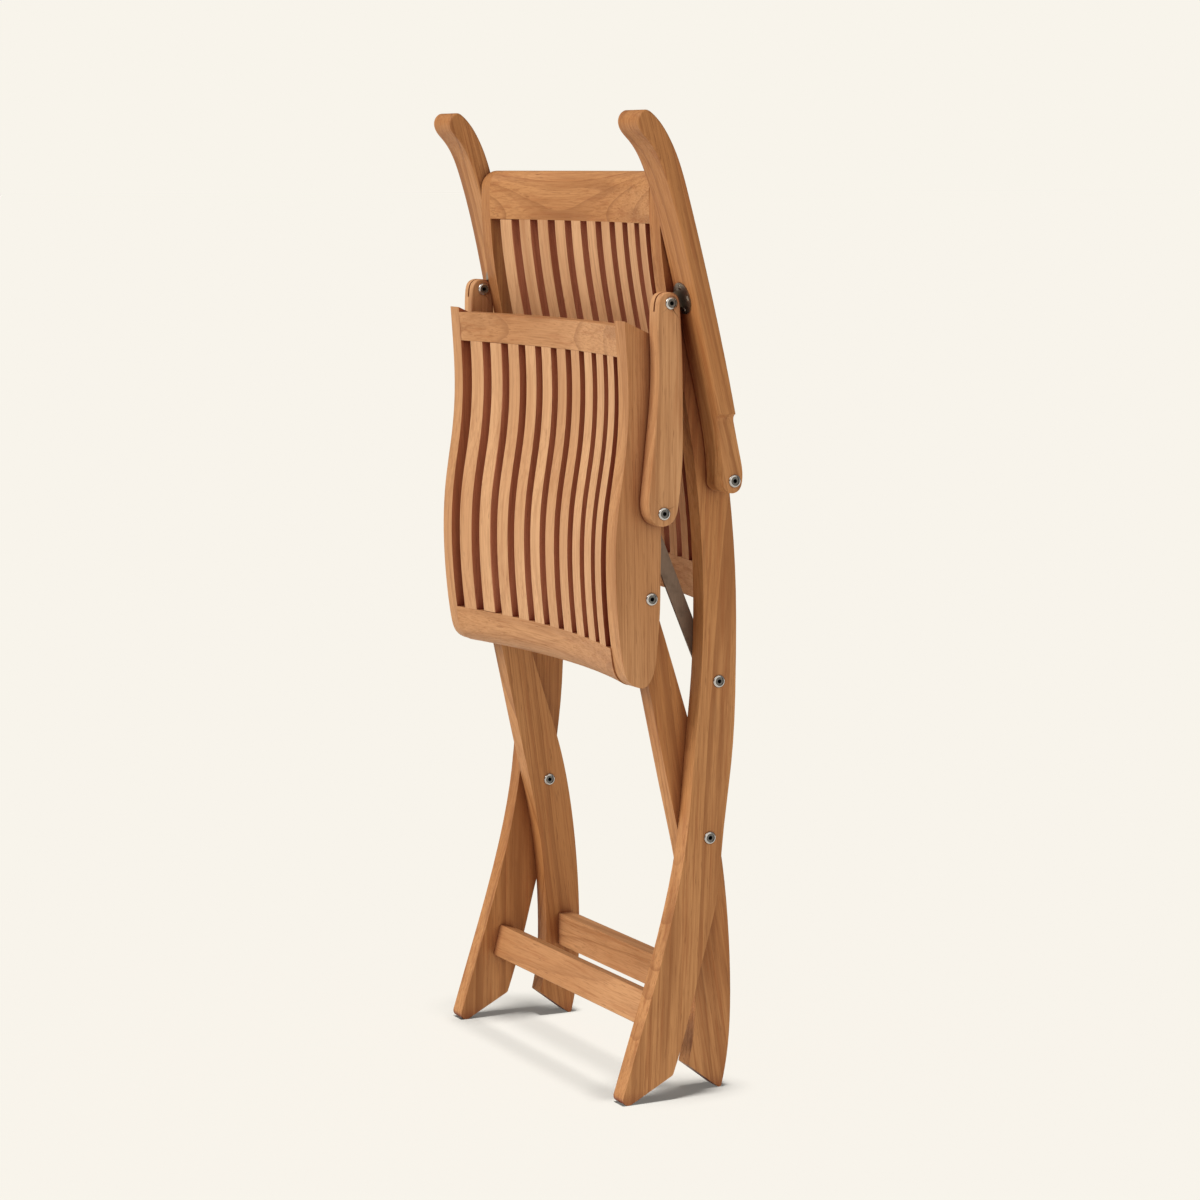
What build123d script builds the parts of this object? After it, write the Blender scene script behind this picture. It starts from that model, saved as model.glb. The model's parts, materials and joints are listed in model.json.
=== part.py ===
from build123d import *
import os
from math import asin, atan2, degrees, hypot, sqrt

# Folding slatted armchair in teak, modelled folded flat and standing upright on its feet.
# Millimetres, +Z up, the chair faces -Y. Side outlines are drawn as (Y, Z) pairs with Y
# measured from the leg pivot; every piece is finally moved by DEPTH_SHIFT so the origin
# lies on the floor under the middle of the folded chair.

# ---- side-to-side layout: distances from the centre plane ----
STILE_IN, STILE_OUT = 210.6, 235.0
LEG_IN, LEG_OUT = 185.0, 209.6
RAIL_IN, RAIL_OUT = 210.3, 234.3
BAR_IN, BAR_OUT = 207.0, 210.0
LINK_IN, LINK_OUT = 236.0, 258.2
ARM_IN, ARM_OUT = 237.0, 287.0
ARM_REAR_OUT = 277.0
TONGUE_MID = 247.1
DEPTH_SHIFT = 39.5

# ---- rounded edges and foot corners ----
TOE_R, HEEL_R = 7.3, 5.0
LEG_TOE_R, LEG_HEEL_R = 3.0, 2.0
ARM_EDGE_R = 2.6
LINK_EDGE_R = 2.0

# ---- pivot points (Y, Z) ----
LEG_PIVOT = (0.0, 302.3)
SEAT_PIVOT = (-75.3, 581.6)
BAR_PIVOT = (10.9, 482.7)
LOWER_LINK = (-72.4, 680.2)
UPPER_LINK = (-64.1, 914.2)
ARM_PIVOT = (6.7, 715.2)

# ---- hardware ----
PIN_R = 4.0
PIN_HOLE_R = 4.06
HEAD_R = 7.4
HEAD_TALL = 2.4
SOCKET_AF = 4.4
SOCKET_DEEP = 3.0
WASHER_R = 9.0

# ---- boards ----
SLAT_COUNT = 10
SLAT_PITCH = 40.0
SEAT_SLAT_WIDE = 24.0
BACK_SLAT_WIDE = 23.4
SLAT_THICK = 14.0
TOP_RAIL_THICK = 22.0
RAIL_THICK = 20.0
DISH = 21.0
TOP_CORNER_R = 18.0
BACK_TOP = 1059.5
ROLL_DEEP, ROLL_TALL = 14.0, 23.0  # the top edge of the back rolls over to the rear
BACK_RAIL_LOW = 1001.0
BACK_FOOT_RAIL = (577.0, 618.0)
SEAT_SLAT_LOW, SEAT_SLAT_TOP = 525.0, 853.0
SEAT_REAR_TOP = 888.0
BAR_WIDE = 17.6
BRACKET_R = 18.0
BRACKET_MID_X = 255.0
BRACKET_THICK = 2.4
LEFT_ARM_BACK = -1.8  # degrees the left armrest has dropped away from the right one

# front and rear edges of the S-curved stile, floor to top
STILE_FRONT = [(-116, -7.4), (-81, 102), (-51.5, 200), (-30, 300), (-20.2, 400), (-12.2, 486),
               (-10, 600), (-18.5, 710), (-35, 812), (-57.8, 924), (-66.4, 1000), (-67, 1036.5)]
STILE_REAR = [(-38, 1059.5), (-34, 1000), (-15, 900), (8, 800), (23.5, 700), (32, 600), (33, 500),
              (29, 400), (17, 300), (8.5, 225), (-7.5, 165), (-24.5, 100), (-46.8, 29)]
# rear leg edges; the top end is a half round about the seat pivot
LEG_FRONT = [(-13.3, 30.8), (-6.8, 65), (-4.6, 120), (-9, 202), (-22, 282), (-37.5, 350),
             (-55, 429), (-72, 505)]
LEG_REAR = [(-35.7, 502.6), (-3, 400), (12.4, 352), (28, 282), (37.5, 205), (41.8, 120),
            (38.6, 45), (29.5, -2.2)]
LEG_TOP_R = 16.0
# seat rail: front edge from the rounded nose up to the rear end, and the hidden rear edge
SEAT_FRONT = [(-64, 620), (-65, 560), (-68.3, 522), (-74, 493), (-84, 481.5), (-95, 483),
              (-104.3, 490), (-111.5, 510), (-117.5, 555), (-120.8, 610), (-118, 677),
              (-108.9, 740), (-105, 790), (-106.8, 850), (-110, 894)]
SEAT_BACK = [(-74, 877.6), (-71.5, 800), (-67.5, 730), (-64, 665), (-64, 620)]
# the dished sitting surface, a little behind the side rails
SEAT_FACE = [(-113, 525), (-117, 565), (-119.4, 615), (-116.3, 677), (-106.7, 740),
             (-102.6, 790), (-104.3, 853), (-107.4, 888)]
SEAT_NOSE = [(-113, 525), (-111, 510), (-104, 490), (-95, 483.2), (-84, 482)]
BACK_FACE = [(-8.6, 577), (-8.8, 618), (-16.5, 710), (-33, 812), (-55.8, 924), (-65, 1001), (-65.2, 1059.5)]
# armrest, one closed curve: underside (facing forward while folded), tip, top side, rear end
ARM_LOOP = [(-8.3, 712), (-10.2, 745), (-25.5, 822), (-44.5, 904), (-64.3, 985), (-83.8, 1048),
            (-107.8, 1093), (-117, 1103), (-120.6, 1112), (-118, 1121.5), (-111, 1125.8),
            (-101, 1121), (-84.5, 1101.5), (-73, 1080), (-57, 1033), (-28.3, 926), (-2, 815),
            (13.1, 745), (16.6, 716), (12.5, 705), (4, 701.4), (-4.8, 705)]
# arm link, one closed curve: rear edge down, wide end, front edge up, narrow end
LINK_LOOP = [(-52.3, 909), (-48.8, 850), (-48.2, 780), (-49.4, 725), (-52.8, 694), (-60.5, 670.5),
             (-72.3, 665.6), (-84, 669.5), (-91.3, 684), (-90.8, 705), (-87.2, 740), (-82.8, 780),
             (-79.4, 850), (-79.9, 909), (-75.8, 922.5), (-66, 926.4), (-56, 922.4)]


def plate(edges, x0, x1):
    """Board cut to a closed (Y, Z) outline and standing between x0 and x1."""
    face = Plane.YZ * make_face(Curve() + edges)
    return Pos(x0, 0, 0) * extrude(face, amount=x1 - x0)


def cross_pin(point, r, x0, x1):
    """Round bar along X through a pivot point."""
    y, z = point
    return Pos(x0, y, z) * (Rot(0, 90, 0) * Cylinder(r, x1 - x0, align=(Align.CENTER, Align.CENTER, Align.MIN)))


def drilled(part, points, x0, x1):
    """Pivot holes through a board."""
    for point in points:
        part -= cross_pin(point, PIN_HOLE_R, x0 - 1, x1 + 1)
    return part


def corner_round(part, point, r):
    """Round the upright-cut corner of a board that stands at one outline point."""
    edges = [e for e in part.edges().filter_by(Axis.X)
             if hypot(e.center().Y - point[0], e.center().Z - point[1]) < 0.5]
    return fillet(edges, r)


def dished(profile_edges, x0, x1):
    """Piece whose (Y, Z) section is swept sideways along the shallow dish of the seat or back."""
    radius = (STILE_IN ** 2 + DISH ** 2) / (2 * DISH)
    face = Plane.YZ * make_face(Curve() + profile_edges)
    axis = Axis((0, DISH - radius, 0), (0, 0, 1))
    reach = degrees(asin(min(0.99, (STILE_IN + 6) / (radius - 150))))
    ring = Pos(0, DISH, 0) * face
    swept = revolve(ring.rotate(axis, -reach), axis, revolution_arc=2 * reach)
    return swept & Pos((x0 + x1) / 2, 0, 600) * Box(x1 - x0, 600, 1400)


def band(points, thick):
    """Closed outline of a curved strip: face points plus the same points moved back."""
    front = Spline(*points)
    back = Spline(*[(y + thick, z) for y, z in points])
    return [front, Line(points[-1], back @ 1), back, Line(back @ 0, points[0])]


def rolled(front_end):
    """Quarter ellipse from the end of a front face, over the top edge of the back."""
    y, z = front_end
    arc = [(y + ROLL_DEEP * (1 - sqrt(1 - t * t)), z + (BACK_TOP - z) * t) for t in (0, 0.4, 0.7, 0.9, 1)]
    return Spline(*arc, tangents=[(0, 1), (1, 0)])


def height_on(samples, z):
    """Point of a sampled curve at height z."""
    for (y0, z0), (y1, z1) in zip(samples, samples[1:]):
        if min(z0, z1) <= z <= max(z0, z1):
            return (y0 + (y1 - y0) * (z - z0) / (z1 - z0), z)
    return min(samples, key=lambda p: abs(p[1] - z))


def face_part(points, z0, z1):
    """Points of a face curve between two heights, with both ends on the curve."""
    curve = Spline(*points)
    samples = [((curve @ (i / 60)).X, (curve @ (i / 60)).Y) for i in range(61)]
    inner = [p for p in samples if z0 + 4 < p[1] < z1 - 4][::5]
    return [height_on(samples, z0)] + inner + [height_on(samples, z1)]


def stile():
    sole = Line(STILE_REAR[-1], STILE_FRONT[0])
    roll = rolled(STILE_FRONT[-1])
    head = Line((STILE_FRONT[-1][0] + ROLL_DEEP, BACK_TOP), STILE_REAR[0])
    part = plate([Spline(*STILE_FRONT), roll, head, Spline(*STILE_REAR), sole], STILE_IN, STILE_OUT)
    part = corner_round(part, STILE_FRONT[0], TOE_R)
    part = corner_round(part, STILE_REAR[-1], HEEL_R)
    mid = STILE_OUT - TOP_CORNER_R
    corner = Pos(mid, 0, BACK_TOP - TOP_CORNER_R) * Box(80, 300, 80, align=(Align.MIN, Align.CENTER, Align.MIN))
    corner -= Pos(mid, 0, BACK_TOP - TOP_CORNER_R) * (Rot(90, 0, 0) * Cylinder(TOP_CORNER_R, 400))
    part -= corner
    return drilled(part, [LEG_PIVOT, BAR_PIVOT, ARM_PIVOT], STILE_IN, STILE_OUT)


def rear_leg():
    y, z = SEAT_PIVOT
    front_end = (y - LEG_TOP_R * 0.97, z - LEG_TOP_R * 0.24)
    rear_end = (y + LEG_TOP_R * 0.95, z - LEG_TOP_R * 0.31)
    edges = [Spline(*LEG_FRONT, front_end), ThreePointArc(front_end, (y, z + LEG_TOP_R), rear_end),
             Spline(rear_end, *LEG_REAR), Line(LEG_REAR[-1], LEG_FRONT[0])]
    part = plate(edges, LEG_IN, LEG_OUT)
    part = corner_round(part, LEG_REAR[-1], LEG_TOE_R)
    part = corner_round(part, LEG_FRONT[0], LEG_HEEL_R)
    return drilled(part, [LEG_PIVOT, SEAT_PIVOT], LEG_IN, LEG_OUT)


def seat_rail():
    edges = [Spline(*SEAT_FRONT), Line(SEAT_FRONT[-1], SEAT_BACK[0]), Spline(*SEAT_BACK)]
    part = plate(edges, RAIL_IN, RAIL_OUT)
    return drilled(part, [SEAT_PIVOT, LOWER_LINK], RAIL_IN, RAIL_OUT)


def seat_front_rail():
    edges = [Spline(*SEAT_NOSE), Line((-84, 482), (-77.5, 487)), Line((-77.5, 487), (-87, 525)),
             Line((-87, 525), (-113, 525))]
    return dished(edges, -RAIL_IN, RAIL_IN)


def seat_rear_rail():
    return dished(band(face_part(SEAT_FACE, SEAT_SLAT_TOP, SEAT_REAR_TOP), RAIL_THICK), -RAIL_IN, RAIL_IN)


def back_top_rail():
    face = face_part(BACK_FACE, BACK_RAIL_LOW, BACK_TOP - ROLL_TALL)
    (foot_y, foot_z), (y, z) = face[0], face[-1]
    back_foot, back_top = (foot_y + TOP_RAIL_THICK, foot_z), (y + TOP_RAIL_THICK, BACK_TOP)
    edges = [Spline(*face), rolled(face[-1]), Line((y + ROLL_DEEP, BACK_TOP), back_top),
             Line(back_top, back_foot), Line(back_foot, face[0])]
    return dished(edges, -STILE_IN, STILE_IN)


def back_foot_rail():
    return dished(band(face_part(BACK_FACE, *BACK_FOOT_RAIL), RAIL_THICK), -STILE_IN, STILE_IN)


def slat(face, z0, z1, wide, number):
    mid = (number - (SLAT_COUNT - 1) / 2) * SLAT_PITCH
    return dished(band(face_part(face, z0, z1), SLAT_THICK), mid - wide / 2, mid + wide / 2)


def front_stretcher():
    corners = [(-57, 117), (-66.7, 79.5), (-47.3, 74.5), (-37.6, 112)]
    return plate([Polyline(*corners, close=True)], -STILE_IN, STILE_IN)


def rear_stretcher():
    corners = [(12, 90), (12, 130), (32, 130), (32, 90)]
    return plate([Polyline(*corners, close=True)], -LEG_IN, LEG_IN)


def arm_flat():
    """Middle of the bracket on the armrest underside, and the angle of the surface there."""
    (y0, z0), (y1, z1) = (-44.5, 904), (-52.6, 938)
    return (-48.1, 919.2), degrees(atan2(y0 - y1, z1 - z0))


def bracket_disc(r, front, back):
    """Round plate lying on the armrest underside, from front (outside) to back (into the wood)."""
    (y, z), lean = arm_flat()
    disc = Rot(90, 0, 0) * Cylinder(r, back - front, align=(Align.CENTER, Align.CENTER, Align.MAX))
    return Pos(BRACKET_MID_X, y, z) * (Rot(lean, 0, 0) * (Pos(0, front, 0) * disc))


def armrest():
    part = plate([Spline(*ARM_LOOP, periodic=True)], ARM_IN, ARM_OUT)
    part = fillet([e for f in part.faces().filter_by(Axis.X) for e in f.edges()], ARM_EDGE_R)
    step = Pos(ARM_REAR_OUT, 0, 781) * Box(40, 200, 200, align=(Align.MIN, Align.CENTER, Align.MAX))
    step += Pos(ARM_OUT, 0, 781) * (Rot(90, 0, 0) * Cylinder(ARM_OUT - ARM_REAR_OUT, 200))
    part -= step
    part -= bracket_disc(BRACKET_R + 0.1, -6, 1.2)
    return drilled(part, [ARM_PIVOT], ARM_IN, ARM_OUT)


def tongue(foot_y):
    """Thin ear from the bracket plate to the arm link bolt; foot_y is where it meets the plate."""
    y, z = UPPER_LINK
    edges = [Line((y, z + 8.5), (foot_y - 3.3, 928)), Line((foot_y - 3.3, 928), (foot_y, 909.5)),
             Line((foot_y, 909.5), (y, z - 8.5)), ThreePointArc((y, z - 8.5), (y - 8.5, z), (y, z + 8.5))]
    part = plate(edges, TONGUE_MID - 1.5, TONGUE_MID + 1.5)
    return drilled(part, [UPPER_LINK], TONGUE_MID - 2, TONGUE_MID + 2)


def bracket_plate():
    return bracket_disc(BRACKET_R, 1.2 - BRACKET_THICK, 1.2)


def left_bracket(pivot):
    """Mirrored bracket whose plate follows the armrest while the ear still ends at the link bolt."""
    leaning = mirror(bracket_plate(), about=Plane.YZ).rotate(pivot, LEFT_ARM_BACK)
    return leaning + mirror(tongue(-40.6), about=Plane.YZ)


def bracket_screws():
    (y, z), lean = arm_flat()
    head = Sphere(5.2) & Pos(0, 0, 4.0) * Box(12, 12, 3, align=(Align.CENTER, Align.CENTER, Align.MIN))
    head = Pos(0, 0, -4.0) * head
    head -= Pos(0, 0, 1.0) * (Box(4, 0.7, 1) + Box(0.7, 4, 1))
    screws = []
    for dx, dz in ((0, 12.8), (0, -12.8), (12.8, 0), (-13.6, 0)):
        place = Pos(BRACKET_MID_X, y, z) * Rot(lean, 0, 0) * Pos(dx, 1.2 - BRACKET_THICK - 0.02, dz)
        screws.append(place * (Rot(90, 0, 0) * head))
    return Compound(screws)


def arm_link():
    part = plate([Spline(*LINK_LOOP, periodic=True)], LINK_IN, LINK_OUT)
    part = fillet([e for f in part.faces().filter_by(Axis.X) for e in f.edges()], LINK_EDGE_R)
    part -= Pos(TONGUE_MID, -66, 904.8) * Box(3.5, 60, 40, align=(Align.CENTER, Align.CENTER, Align.MIN))
    return drilled(part, [LOWER_LINK, UPPER_LINK], LINK_IN, LINK_OUT)


def seat_bar():
    (y0, z0), (y1, z1) = BAR_PIVOT, LOWER_LINK
    run = hypot(y1 - y0, z1 - z0)
    ny, nz = (z1 - z0) / run * BAR_WIDE / 2, -(y1 - y0) / run * BAR_WIDE / 2
    ty, tz = (y1 - y0) / run * BAR_WIDE / 2, (z1 - z0) / run * BAR_WIDE / 2
    edges = [Line((y0 + ny, z0 + nz), (y1 + ny, z1 + nz)),
             ThreePointArc((y1 + ny, z1 + nz), (y1 + ty, z1 + tz), (y1 - ny, z1 - nz)),
             Line((y1 - ny, z1 - nz), (y0 - ny, z0 - nz)),
             ThreePointArc((y0 - ny, z0 - nz), (y0 - ty, z0 - tz), (y0 + ny, z0 + nz))]
    part = plate(edges, BAR_IN, BAR_OUT)
    return drilled(part, [BAR_PIVOT, LOWER_LINK], BAR_IN, BAR_OUT)


def bolt_head(point, x, side):
    """Domed ring round a lower, flat bolt end; it stands on the face at x and bulges towards side."""
    rim = [Line((0, 0), (HEAD_R, 0)), Line((HEAD_R, 0), (HEAD_R, 0.7)),
           ThreePointArc((HEAD_R, 0.7), (HEAD_R * 0.88, 1.95), (HEAD_R * 0.71, HEAD_TALL)),
           Line((HEAD_R * 0.71, HEAD_TALL), (HEAD_R * 0.66, 0.9)), Line((HEAD_R * 0.66, 0.9), (HEAD_R * 0.6, 0.9)),
           Line((HEAD_R * 0.6, 0.9), (HEAD_R * 0.6, 1.6)), Line((HEAD_R * 0.6, 1.6), (0, 1.6)),
           Line((0, 1.6), (0, 0))]
    head = revolve(Plane.XZ * make_face(Curve() + rim), Axis.Z)
    return Pos(x, point[0], point[1]) * (Rot(0, 90 * side, 0) * head)


def hex_socket(point, x, side):
    """Key socket that runs from a bolt head down into its shank."""
    key = extrude(RegularPolygon(SOCKET_AF / sqrt(3), 6), amount=SOCKET_DEEP + HEAD_TALL)
    return Pos(x, point[0], point[1]) * (Rot(0, 90 * side, 0) * (Pos(0, 0, -SOCKET_DEEP) * key))


def headed(shank, point, x, side):
    """Adds a head with its key socket to one end of a shank."""
    return shank + bolt_head(point, x, side) - hex_socket(point, x, side)


def pivot_bolt(point, x0, x1):
    """Sleeve bolt with a head on both outer faces, x0 inside and x1 outside."""
    return headed(headed(cross_pin(point, PIN_R, x0, x1), point, x1, 1), point, x0, -1)


def washer(point, x0, x1):
    return cross_pin(point, WASHER_R, x0, x1) - cross_pin(point, PIN_HOLE_R, x0 - 1, x1 + 1)


def link_bolts():
    """Top sleeve bolt of the arm link, and the outer half of its lower bolt."""
    lower = headed(cross_pin(LOWER_LINK, PIN_R, LINK_IN - 0.6, LINK_OUT), LOWER_LINK, LINK_OUT, 1)
    return Compound([pivot_bolt(UPPER_LINK, LINK_IN, LINK_OUT), lower])


def bar_rivet():
    return cross_pin(LOWER_LINK, PIN_R, BAR_IN, BAR_OUT) + bolt_head(LOWER_LINK, BAR_IN, -1)


def both_sides(part):
    return Compound([part, mirror(part, about=Plane.YZ)])


pieces = {
    "back_top_rail": back_top_rail(),
    "back_bottom_rail": back_foot_rail(),
    "front_stretcher": front_stretcher(),
    "rear_stretcher": rear_stretcher(),
    "seat_front_rail": seat_front_rail(),
    "seat_rear_rail": seat_rear_rail(),
    "leg_pivot_bolts": both_sides(pivot_bolt(LEG_PIVOT, LEG_IN, STILE_OUT)),
    "bar_pivot_bolts": both_sides(pivot_bolt(BAR_PIVOT, BAR_IN, STILE_OUT)),
    "arm_pivot_bolts": both_sides(pivot_bolt(ARM_PIVOT, STILE_IN, ARM_REAR_OUT)),
    "seat_pivot_bolts": both_sides(pivot_bolt(SEAT_PIVOT, LEG_IN, RAIL_OUT)),
    "rail_sleeves": both_sides(cross_pin(LOWER_LINK, PIN_R, RAIL_IN, RAIL_OUT)),
    "leg_washers": both_sides(washer(LEG_PIVOT, LEG_OUT + 0.1, STILE_IN)),
    "arm_washers": both_sides(washer(ARM_PIVOT, STILE_OUT, ARM_IN - 0.1)),
    "link_washers": both_sides(washer(LOWER_LINK, RAIL_OUT, LINK_IN - 0.7)),
}
for number in range(SLAT_COUNT):
    pieces[f"seat_slat_{number + 1}"] = slat(SEAT_FACE, SEAT_SLAT_LOW, SEAT_SLAT_TOP, SEAT_SLAT_WIDE, number)
    pieces[f"back_slat_{number + 1}"] = slat(BACK_FACE, BACK_FOOT_RAIL[1], BACK_RAIL_LOW, BACK_SLAT_WIDE, number)

paired = {
    "stile": stile(), "rear_leg": rear_leg(), "seat_rail": seat_rail(), "armrest": armrest(),
    "arm_bracket": bracket_plate() + tongue(-47.0), "bracket_screws": bracket_screws(), "arm_link": arm_link(),
    "link_bolts": link_bolts(), "seat_bar": seat_bar(), "bar_rivet": bar_rivet(),
}
for name, part in paired.items():
    pieces[f"{name}_right"] = part
    pieces[f"{name}_left"] = mirror(part, about=Plane.YZ)

# the left armrest rests a little further back than the right one, on a longer bracket tongue
pivot = Axis((0, *ARM_PIVOT), (1, 0, 0))
pieces["armrest_left"] = pieces["armrest_left"].rotate(pivot, LEFT_ARM_BACK)
pieces["bracket_screws_left"] = pieces["bracket_screws_left"].rotate(pivot, LEFT_ARM_BACK)
pieces["arm_bracket_left"] = left_bracket(pivot)

os.makedirs("parts", exist_ok=True)
for name, part in pieces.items():
    export_step(Pos(0, DEPTH_SHIFT, 0) * part, f"parts/{name}.step")
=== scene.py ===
"""Folding slatted teak armchair, folded flat and standing upright: finish, light and camera."""
import json
import math
import random

import bpy
from mathutils import Matrix, Vector

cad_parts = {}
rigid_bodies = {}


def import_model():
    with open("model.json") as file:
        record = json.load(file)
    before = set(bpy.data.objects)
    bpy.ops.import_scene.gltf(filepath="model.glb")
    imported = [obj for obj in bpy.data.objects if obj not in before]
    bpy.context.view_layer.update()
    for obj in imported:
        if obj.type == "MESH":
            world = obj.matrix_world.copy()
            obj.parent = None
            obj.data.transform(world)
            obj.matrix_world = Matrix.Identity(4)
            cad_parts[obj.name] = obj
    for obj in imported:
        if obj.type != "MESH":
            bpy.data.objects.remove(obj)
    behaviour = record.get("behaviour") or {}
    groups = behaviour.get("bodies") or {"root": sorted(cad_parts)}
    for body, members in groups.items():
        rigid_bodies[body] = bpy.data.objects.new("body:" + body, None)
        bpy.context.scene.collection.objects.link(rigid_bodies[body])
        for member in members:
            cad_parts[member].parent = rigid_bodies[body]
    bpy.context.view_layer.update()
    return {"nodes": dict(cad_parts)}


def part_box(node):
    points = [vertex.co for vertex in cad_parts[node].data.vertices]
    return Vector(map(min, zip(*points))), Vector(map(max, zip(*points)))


for leftover in list(bpy.data.objects):
    bpy.data.objects.remove(leftover)

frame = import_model()
nodes = frame["nodes"]
scene = bpy.context.scene


def linear(r, g, b):
    """Display colour, 0 to 255 a channel, as the linear colour a shader socket takes."""
    def one(c):
        c /= 255
        return c / 12.92 if c <= 0.04045 else ((c + 0.055) / 1.055) ** 2.4
    return (one(r), one(g), one(b), 1.0)


class Net:
    """Short-hand for wiring one node tree."""

    def __init__(self, tree):
        self.tree = tree

    def add(self, kind, **values):
        node = self.tree.nodes.new(kind)
        for key, value in values.items():
            setattr(node, key, value)
        return node

    def put(self, socket, value):
        if isinstance(value, bpy.types.NodeSocket):
            self.tree.links.new(value, socket)
        else:
            socket.default_value = value

    def math(self, operation, a, b=0.0):
        node = self.add("ShaderNodeMath", operation=operation)
        self.put(node.inputs[0], a)
        self.put(node.inputs[1], b)
        return node.outputs[0]

    def scaled(self, vector, factors):
        node = self.add("ShaderNodeVectorMath", operation="MULTIPLY")
        self.put(node.inputs[0], vector)
        self.put(node.inputs[1], factors)
        return node.outputs[0]

    def noise(self, vector, scale=1.0, detail=2.0, rough=0.5, distortion=0.0):
        node = self.add("ShaderNodeTexNoise", noise_dimensions="3D")
        self.put(node.inputs["Vector"], vector)
        self.put(node.inputs["Scale"], scale)
        self.put(node.inputs["Detail"], detail)
        self.put(node.inputs["Roughness"], rough)
        self.put(node.inputs["Distortion"], distortion)
        return node

    def remap(self, value, low, high, to_low=0.0, to_high=1.0):
        node = self.add("ShaderNodeMapRange", interpolation_type="SMOOTHSTEP")
        for socket, v in zip(node.inputs, (value, low, high, to_low, to_high)):
            self.put(socket, v)
        return node.outputs[0]

    def mix(self, factor, a, b, blend="MIX"):
        node = self.add("ShaderNodeMix", data_type="RGBA", blend_type=blend)
        self.put(node.inputs[0], factor)
        self.put(node.inputs[6], a)
        self.put(node.inputs[7], b)
        return node.outputs[2]


# ---------------------------------------------------------------- teak

RING_PITCH = 0.0052  # metres between growth rings
RING_WANDER = 3.2  # how many pitches the rings drift, and how fast along the radius
WANDER_SCALE = 75.0
LATEWOOD = (0.15, 0.93)  # part of each ring over which it darkens
# noise stretch across, across and along the grain
FIBRE = (560.0, 560.0, 9.0)
PORES = (900.0, 900.0, 46.0)
STREAKS = (60.0, 60.0, 4.5)
BANDS = (48.0, 48.0, 2.2)
LINES = (170.0, 170.0, 4.0)
CLOUDS = (9.0, 9.0, 2.5)
WARP = (10.0, 10.0, 1.6)
WARP_REACH = 0.014


def grain_group():
    """Solid teak figure: growth rings about the local Z axis, fibres, pores and mineral streaks."""
    tree = bpy.data.node_groups.new("teak_figure", "ShaderNodeTree")
    tree.interface.new_socket("Vector", in_out="INPUT", socket_type="NodeSocketVector")
    for name in ("Rings", "Bands", "Lines", "Clouds", "Fibre", "Pores", "Streaks"):
        tree.interface.new_socket(name, in_out="OUTPUT", socket_type="NodeSocketFloat")
    net = Net(tree)
    point = net.add("NodeGroupInput").outputs["Vector"]
    out = net.add("NodeGroupOutput")

    warp = net.noise(net.scaled(point, WARP), detail=3.0).outputs["Color"]
    shift = net.add("ShaderNodeVectorMath", operation="MULTIPLY_ADD")
    net.put(shift.inputs[0], warp)
    net.put(shift.inputs[1], (WARP_REACH, WARP_REACH, 0.0))
    net.put(shift.inputs[2], point)
    flat = net.scaled(shift.outputs[0], (1.0, 1.0, 0.0))
    length = net.add("ShaderNodeVectorMath", operation="LENGTH")
    net.put(length.inputs[0], flat)
    radius = length.outputs["Value"]
    uneven = net.add("ShaderNodeTexNoise", noise_dimensions="1D")
    net.put(uneven.inputs["W"], radius)
    net.put(uneven.inputs["Scale"], WANDER_SCALE)
    ring = net.math("ADD", net.math("DIVIDE", radius, RING_PITCH),
                    net.math("MULTIPLY", uneven.outputs[0], RING_WANDER))
    phase = net.math("FRACT", ring)
    white = net.add("ShaderNodeTexWhiteNoise", noise_dimensions="1D")
    net.put(white.inputs["W"], net.math("FLOOR", ring))
    rise = net.remap(phase, *LATEWOOD)
    fall = net.remap(phase, LATEWOOD[1], 1.0, 1.0, 0.0)
    strength = net.remap(white.outputs["Value"], 0.35, 1.0, 0.06, 1.0)
    rings = net.math("MULTIPLY", net.math("MULTIPLY", rise, fall), strength)

    fibre = net.noise(net.scaled(point, FIBRE), detail=4.0, rough=0.65).outputs[0]
    pore_noise = net.noise(net.scaled(point, PORES), detail=1.0).outputs[0]
    pores = net.math("MULTIPLY", net.remap(pore_noise, 0.60, 0.74),
                     net.remap(phase, 0.0, 0.5, 1.0, 0.35))
    band = net.noise(net.scaled(point, BANDS), detail=3.0, rough=0.55).outputs[0]
    line = net.noise(net.scaled(shift.outputs[0], LINES), detail=3.0, rough=0.6).outputs[0]
    cloud = net.noise(net.scaled(point, CLOUDS), detail=2.0).outputs[0]
    streak_noise = net.noise(net.scaled(point, STREAKS), detail=3.0, distortion=0.4).outputs[0]
    streaks = net.remap(streak_noise, 0.66, 0.82)

    for name, value in (("Rings", rings), ("Bands", band), ("Lines", line), ("Clouds", cloud),
                        ("Fibre", fibre), ("Pores", pores), ("Streaks", streaks)):
        net.put(out.inputs[name], value)
    return tree


FIGURE = grain_group()


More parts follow.
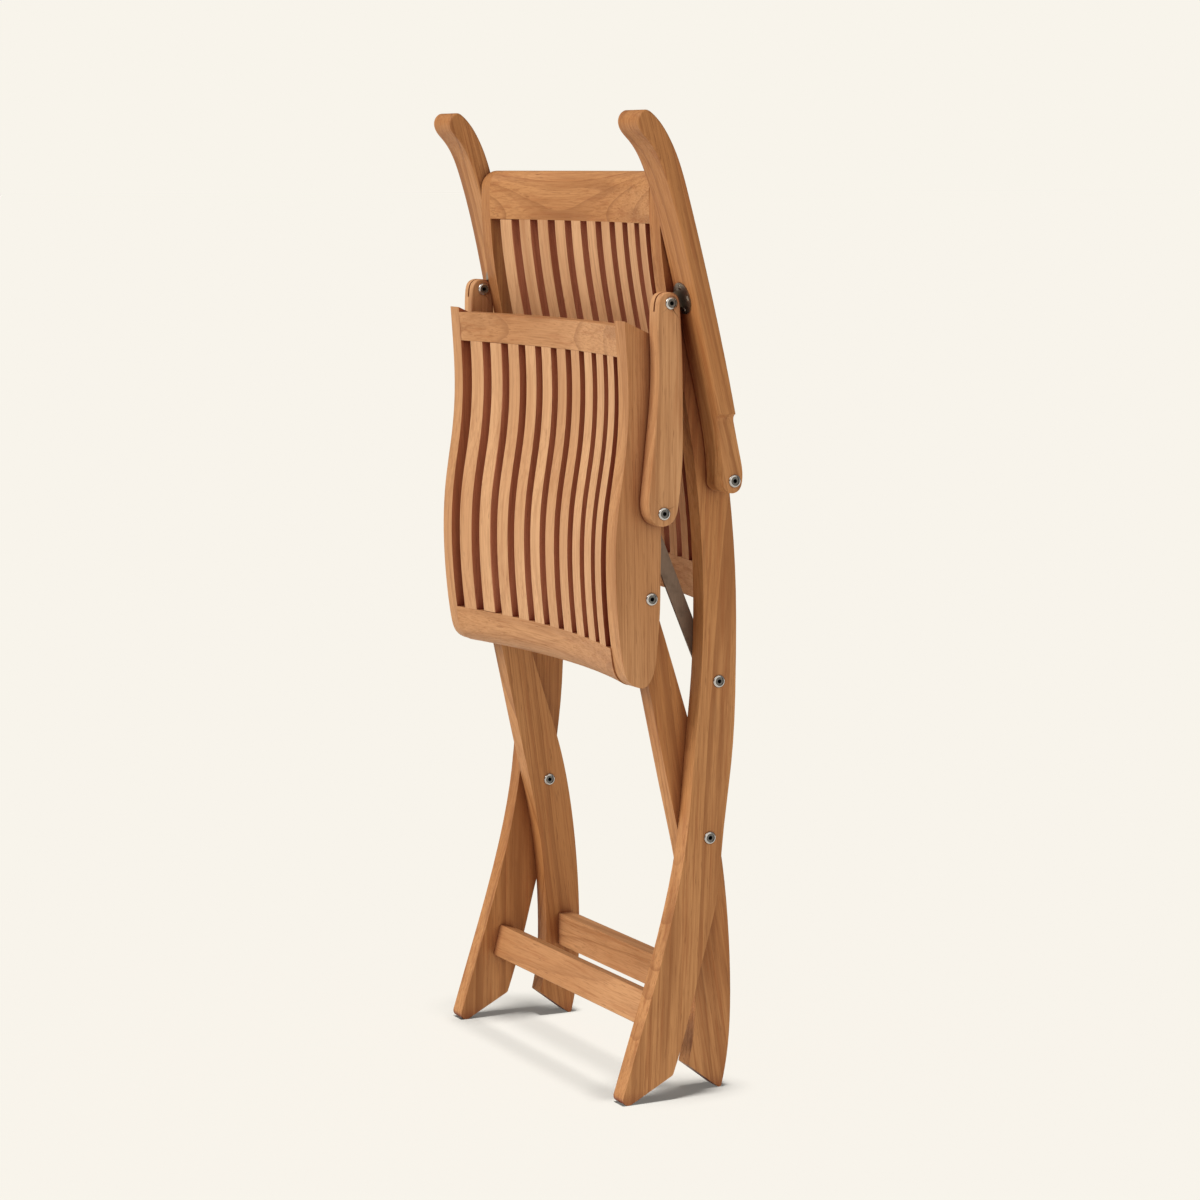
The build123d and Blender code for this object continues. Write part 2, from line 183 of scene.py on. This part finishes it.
def teak(name, along, tone, figure, middle, painted_shade_side):
    """Oiled teak for one board: grain, tone, figure strength, middle, and the sides facing gaps that get
    painted shade.
    """
    pick = random.Random(name)
    mat = bpy.data.materials.new("teak_" + name)
    mat.use_nodes = True
    net = Net(mat.node_tree)
    shader = mat.node_tree.nodes["Principled BSDF"]

    turn = Vector(along).rotation_difference(Vector((0, 0, 1))).to_matrix()
    runout = RUNOUT[along == ACROSS]
    tilt = Matrix.Rotation(math.radians(pick.uniform(*runout) * pick.choice((-1, 1))), 3, "X")
    tilt = tilt @ Matrix.Rotation(math.radians(pick.uniform(-SIDE_RUNOUT, SIDE_RUNOUT)), 3, "Y")
    turn = tilt @ turn
    bearing = math.pi / 2 + pick.uniform(-0.5, 0.5) if along == ACROSS else pick.uniform(0, 2 * math.pi)
    pith = Vector((math.cos(bearing), math.sin(bearing), 0)) * pick.uniform(*PITH_AWAY)
    start = pith - turn @ Vector(middle) + Vector((0, 0, pick.uniform(0, 40)))
    coords = net.add("ShaderNodeTexCoord")
    place = net.add("ShaderNodeMapping")
    net.put(place.inputs["Vector"], coords.outputs["Object"])
    net.put(place.inputs["Location"], start)
    net.put(place.inputs["Rotation"], turn.to_euler())
    group = net.add("ShaderNodeGroup", node_tree=FIGURE)
    net.put(group.inputs["Vector"], place.outputs[0])
    got = group.outputs

    light, mid, dark = tone
    base = net.mix(net.remap(got["Clouds"], 0.34, 0.66), mid, light)
    layers = (  # pattern, strength, colour
        (net.remap(got["Bands"], 0.48, 0.70), BAND_SHOW * figure, dark),
        (net.remap(got["Lines"], 0.52, 0.66), LINE_SHOW * figure, RED_LINE),
        (got["Rings"], RING_SHOW * figure, dark),
        (net.remap(got["Fibre"], 0.42, 0.72), FIBRE_SHOW, dark),
        (got["Pores"], PORE_SHOW, PORE_BROWN),
        (got["Streaks"], STREAK_SHOW * figure, MINERAL),
    )
    for pattern, show, colour in layers:
        base = net.mix(net.math("MULTIPLY", pattern, show), base, colour)
    # Painted shade: ambient occlusion darkens the colour towards a deep red-brown in gaps and close to
    # neighbouring parts.
    gap_shade_ao = net.add("ShaderNodeAmbientOcclusion", samples=6)
    gap_shade_ao.inputs["Distance"].default_value = PAINTED_SHADE_REACH
    painted_gap_shade = net.remap(gap_shade_ao.outputs["AO"], 0.36, 0.80, 1.0, 0.0)
    base = net.mix(painted_gap_shade, base, net.mix(1.0, base, PAINTED_SHADE_TINT, "MULTIPLY"))
    # Painted shade: board sides that face the gaps between boards are darkened and reddened.
    if painted_shade_side is not None:
        facing = net.add("ShaderNodeSeparateXYZ")
        net.put(facing.inputs[0], net.add("ShaderNodeNewGeometry").outputs["Normal"])
        across = facing.outputs["X"]
        across = net.math("MULTIPLY", across, painted_shade_side) if painted_shade_side else net.math("ABSOLUTE", across)
        hidden = net.remap(across, 0.60, 0.92)
        base = net.mix(hidden, base, net.mix(1.0, base, PAINTED_SIDE_SHADE_TINT, "MULTIPLY"))
    net.put(shader.inputs["Base Color"], base)
    rough = net.math("ADD", net.remap(got["Fibre"], 0.3, 0.7, *ROUGH),
                     net.math("MULTIPLY", got["Pores"], PORE_ROUGH))
    net.put(shader.inputs["Roughness"], rough)
    shader.inputs["Specular IOR Level"].default_value = OILED_SHINE

    height = net.math("SUBTRACT", net.math("MULTIPLY", got["Fibre"], 0.5),
                      net.math("ADD", got["Pores"], net.math("MULTIPLY", got["Rings"], 0.3)))
    bump = net.add("ShaderNodeBump")
    net.put(bump.inputs["Strength"], 0.35)
    net.put(bump.inputs["Distance"], 0.00035)
    net.put(bump.inputs["Height"], height)
    net.put(shader.inputs["Normal"], bump.outputs[0])
    return mat


RUNOUT = ((0.3, 1.6), (1.6, 2.8))  # degrees between pith and board: uprights, rails
SIDE_RUNOUT = 1.6
PITH_AWAY = (0.045, 0.085)  # metres from the middle of the tree to the board
# how strongly each layer of the figure shows
BAND_SHOW, LINE_SHOW, RING_SHOW = 0.55, 0.50, 0.58
FIBRE_SHOW, PORE_SHOW, STREAK_SHOW = 0.45, 0.58, 0.40
ROUGH = (0.47, 0.60)
PORE_ROUGH = 0.2
OILED_SHINE = 0.22
PAINTED_SHADE_REACH = 0.034  # how far the painted shade in gaps and recesses reaches
# colour multiplied in as painted shade in gaps and recesses
PAINTED_SHADE_TINT = (0.42, 0.19, 0.15, 1.0)
PAINTED_SIDE_SHADE_TINT = (0.86, 0.58, 0.58, 1.0)  # painted shade, darker and redder, on the sides of boards inside the gaps
PORE_BROWN = linear(118, 74, 44)
MINERAL = linear(104, 66, 40)
RED_LINE = linear(158, 96, 52)
# light, middle and dark wood of each kind of board
CREAM = (linear(206, 156, 110), linear(194, 142, 96), linear(152, 101, 62))
PALE = (linear(210, 162, 118), linear(197, 147, 104), linear(156, 105, 66))
HONEY = (linear(196, 144, 98), linear(180, 126, 80), linear(138, 88, 50))
RUSSET = (linear(192, 137, 87), linear(177, 120, 70), linear(132, 79, 40))

UP = (0, 0, 1)
ACROSS = (1, 0, 0)
KINDS = [  # name starts with, grain direction, tone, figure strength
    ("stile", (0, 0.02, 1), RUSSET, 1.0),
    ("rear_leg", (0, -0.14, 1), RUSSET, 1.1),
    ("seat_rail_", UP, HONEY, 0.6),
    ("seat_slat", UP, PALE, 0.55),
    ("back_slat", (0, -0.13, 1), PALE, 0.7),
    ("back_top_rail", ACROSS, RUSSET, 0.9),
    ("back_bottom_rail", ACROSS, PALE, 0.7),
    ("seat_front_rail", ACROSS, HONEY, 0.6),
    ("seat_rear_rail", ACROSS, HONEY, 0.8),
    ("front_stretcher", ACROSS, HONEY, 0.7),
    ("rear_stretcher", ACROSS, HONEY, 0.8),
    ("armrest", (0, -0.28, 1), RUSSET, 1.2),
    ("arm_link_", UP, CREAM, 0.9),
]
EASED = 0.0013


def eased(obj, width):
    """Slightly rounded sawn edges."""
    weld = obj.modifiers.new("weld", "WELD")
    weld.merge_threshold = 0.00001
    bevel = obj.modifiers.new("eased", "BEVEL")
    bevel.width = width
    bevel.segments = 3
    bevel.limit_method = "ANGLE"
    bevel.angle_limit = math.radians(38)
    bevel.use_clamp_overlap = True
    smooth = obj.modifiers.new("smooth", "WEIGHTED_NORMAL")
    smooth.keep_sharp = False
    smooth.weight = 80


def painted_shade_side(name, centre):
    """Sides of a board that face a gap and get painted shade: 0 both, -1 or 1 the one towards the chair's
    middle, None neither.
    """
    if name.startswith(("seat_slat", "back_slat")):
        return 0
    if name.startswith("seat_rail_"):
        return -math.copysign(1, centre.x)
    return None


for name, node in nodes.items():
    for prefix, along, tone, figure in KINDS:
        if name.startswith(prefix):
            low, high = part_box(name)
            node.data.materials.clear()
            centre = (low + high) / 2
            node.data.materials.append(teak(name, along, tone, figure, centre, painted_shade_side(name, centre)))
            eased(node, EASED)


# ---------------------------------------------------------------- metal

def steel(name, colour, rough, stretch, scratch):
    """Metal with a fine brushed grain and slight stains."""
    mat = bpy.data.materials.new(name)
    mat.use_nodes = True
    net = Net(mat.node_tree)
    shader = mat.node_tree.nodes["Principled BSDF"]
    coords = net.add("ShaderNodeTexCoord").outputs["Object"]
    brushed = net.noise(net.scaled(coords, stretch), detail=3.0, rough=0.6).outputs[0]
    stain = net.noise(coords, scale=95.0, detail=3.0).outputs[0]
    darker = tuple(c * 0.55 for c in colour[:3]) + (1.0,)
    worn = net.mix(net.remap(stain, 0.42, 0.78, 0.0, 0.6), colour, darker)
    net.put(shader.inputs["Base Color"], net.mix(net.math("MULTIPLY", brushed, 0.25), worn, darker))
    net.put(shader.inputs["Roughness"], net.remap(brushed, 0.25, 0.75, rough - 0.07, rough + 0.10))
    shader.inputs["Metallic"].default_value = 1.0
    bump = net.add("ShaderNodeBump")
    net.put(bump.inputs["Strength"], scratch)
    net.put(bump.inputs["Distance"], 0.00008)
    net.put(bump.inputs["Height"], brushed)
    net.put(shader.inputs["Normal"], bump.outputs[0])
    return mat


GROOVE_R = (0.0043, 0.0051)  # dark ring between the flat bolt end and the polished rim
# the key socket is painted near-black as shade out to this radius
SOCKET_R = (0.0021, 0.0027)


def bolt_steel(name, centres):
    """Polished rim, duller flat end and a key socket painted near-black as shade, round each pivot line (Y,
    Z).
    """
    mat = steel("bolt_" + name, linear(205, 202, 198), 0.20, (900.0, 2400.0, 2400.0), 0.15)
    net = Net(mat.node_tree)
    shader = mat.node_tree.nodes["Principled BSDF"]
    place = net.add("ShaderNodeSeparateXYZ")
    net.put(place.inputs[0], net.add("ShaderNodeTexCoord").outputs["Object"])
    away = None
    for y, z in centres:
        dy = net.math("SUBTRACT", place.outputs["Y"], y)
        dz = net.math("SUBTRACT", place.outputs["Z"], z)
        r = net.math("SQRT", net.math("ADD", net.math("MULTIPLY", dy, dy), net.math("MULTIPLY", dz, dz)))
        away = r if away is None else net.math("MINIMUM", away, r)
    # Painted shade: the key socket is coloured near-black.
    socket = net.remap(away, SOCKET_R[0], SOCKET_R[1], 1.0, 0.0)
    inner = net.remap(away, GROOVE_R[0], GROOVE_R[1], 1.0, 0.0)
    polished = shader.inputs["Base Color"].links[0].from_socket
    colour = net.mix(inner, polished, linear(112, 110, 106))
    net.put(shader.inputs["Base Color"], net.mix(socket, colour, linear(18, 15, 13)))
    rough = shader.inputs["Roughness"].links[0].from_socket
    net.put(shader.inputs["Roughness"], net.math("ADD", rough, net.math("MULTIPLY", inner, 0.22)))
    return mat


DULL = steel("dull_steel", linear(132, 112, 97), 0.48, (700.0, 700.0, 60.0), 0.30)
PLATED = steel("plated_steel", linear(150, 138, 124), 0.34, (1400.0, 1400.0, 1400.0), 0.25)
METALS = [("seat_bar", DULL), ("arm_bracket", PLATED), ("leg_washers", DULL), ("arm_washers", DULL),
          ("link_washers", DULL), ("rail_sleeves", DULL), ("bracket_screws", PLATED)]
BOLTED = ("leg_pivot", "bar_pivot", "arm_pivot", "seat_pivot", "link_bolts", "bar_rivet")
HEAD_R = 0.0074
for name, node in nodes.items():
    metal = next((m for prefix, m in METALS if name.startswith(prefix)), None)
    if name.startswith(BOLTED):
        low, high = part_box(name)
        y = (low.y + high.y) / 2
        centres = [(low.y + HEAD_R, high.z - HEAD_R), (high.y - HEAD_R, low.z + HEAD_R)]
        if name.startswith("link_bolts"):
            centres = [(high.y - HEAD_R, high.z - HEAD_R), (low.y + HEAD_R, low.z + HEAD_R)]
        metal = bolt_steel(name, centres)
    if metal:
        node.data.materials.clear()
        node.data.materials.append(metal)


# ---------------------------------------------------------------- floor, light and camera

BACKDROP = linear(248, 244, 235)
SKY = 0.17
FLOOR_REACH = 120.0
CAMERA_AT = (3.5875, -1.7931, 1.0632)
CAMERA_DOWN, CAMERA_BEARING = 7.262, 63.222  # degrees
LENS, SENSOR = 101.8, 36.0
SUNS = [  # name, lit set, strength, spread, height and bearing of the light in degrees, colour
    ("front", "chair", 2.75, 36, 42, 198, (1.0, 0.985, 0.965)),
    ("side", "chair", 1.35, 85, 30, 98, (1.0, 0.93, 0.83)),
    ("overhead", "legs", 12.0, 8, 88, 90, (1.0, 1.0, 1.0)),
    ("behind", "stretchers", 2.8, 10, 60, 8, (1.0, 1.0, 1.0)),
]
CASTERS = {"legs": ("stile", "rear_leg"), "stretchers": ("front_stretcher", "rear_stretcher")}

lit = {key: bpy.data.collections.new("lit_" + key) for key in ("chair", "floor")}
for node in nodes.values():
    lit["chair"].objects.link(node)


def sun(name, use, strength, spread, height, bearing, colour):
    """Soft distant light on the chair, or on the floor past some of its boards; returns its floor share."""
    data = bpy.data.lights.new(name, "SUN")
    data.energy, data.angle, data.color = strength, math.radians(spread), colour
    lamp = bpy.data.objects.new(name, data)
    scene.collection.objects.link(lamp)
    e, b = math.radians(height), math.radians(bearing)
    towards = Vector((math.sin(b) * math.cos(e), math.cos(b) * math.cos(e), math.sin(e)))
    lamp.rotation_euler = towards.to_track_quat("Z", "Y").to_euler()
    lamp.location = towards * 3
    if use == "chair":
        lamp.light_linking.receiver_collection = lit["chair"]
        return 0.0
    lamp.light_linking.receiver_collection = lit["floor"]
    casters = bpy.data.collections.new("casters_" + name)
    for key, node in nodes.items():
        if key.startswith(CASTERS[use]):
            casters.objects.link(node)
    lamp.light_linking.blocker_collection = casters
    return strength * math.sin(e) / math.pi


arriving = SKY + sum(sun(*s) for s in SUNS)

floor_mesh = bpy.data.meshes.new("studio_floor")
reach = FLOOR_REACH
floor_mesh.from_pydata([(-reach, -reach, 0), (reach, -reach, 0), (reach, reach, 0), (-reach, reach, 0)],
                       [], [(0, 1, 2, 3)])
floor = bpy.data.objects.new("studio_floor", floor_mesh)
scene.collection.objects.link(floor)
lit["floor"].objects.link(floor)
floor_mat = bpy.data.materials.new("studio_floor")
floor_mat.use_nodes = True
paint = floor_mat.node_tree.nodes["Principled BSDF"]
paint.inputs["Base Color"].default_value = tuple(c / arriving for c in BACKDROP[:3]) + (1.0,)
paint.inputs["Roughness"].default_value = 1.0
paint.inputs["Specular IOR Level"].default_value = 0.0
floor_mesh.materials.append(floor_mat)

world = bpy.data.worlds.new("studio")
scene.world = world
world.use_nodes = True
net = Net(world.node_tree)
sky = world.node_tree.nodes["Background"]
sky.inputs["Color"].default_value = (1.0, 1.0, 1.0, 1.0)
sky.inputs["Strength"].default_value = SKY
seen = net.add("ShaderNodeBackground")
seen.inputs["Color"].default_value = BACKDROP
choose = net.add("ShaderNodeMixShader")
net.put(choose.inputs[0], net.add("ShaderNodeLightPath").outputs["Is Camera Ray"])
net.put(choose.inputs[1], sky.outputs[0])
net.put(choose.inputs[2], seen.outputs[0])
net.put(world.node_tree.nodes["World Output"].inputs["Surface"], choose.outputs[0])

scene.view_settings.view_transform = "Standard"

camera_data = bpy.data.cameras.new("camera")
camera_data.sensor_width = SENSOR
camera_data.lens = LENS
camera = bpy.data.objects.new("camera", camera_data)
scene.collection.objects.link(camera)
camera.location = CAMERA_AT
camera.rotation_euler = (math.radians(90 - CAMERA_DOWN), 0.0, math.radians(CAMERA_BEARING))
scene.camera = camera

bpy.context.view_layer.update()
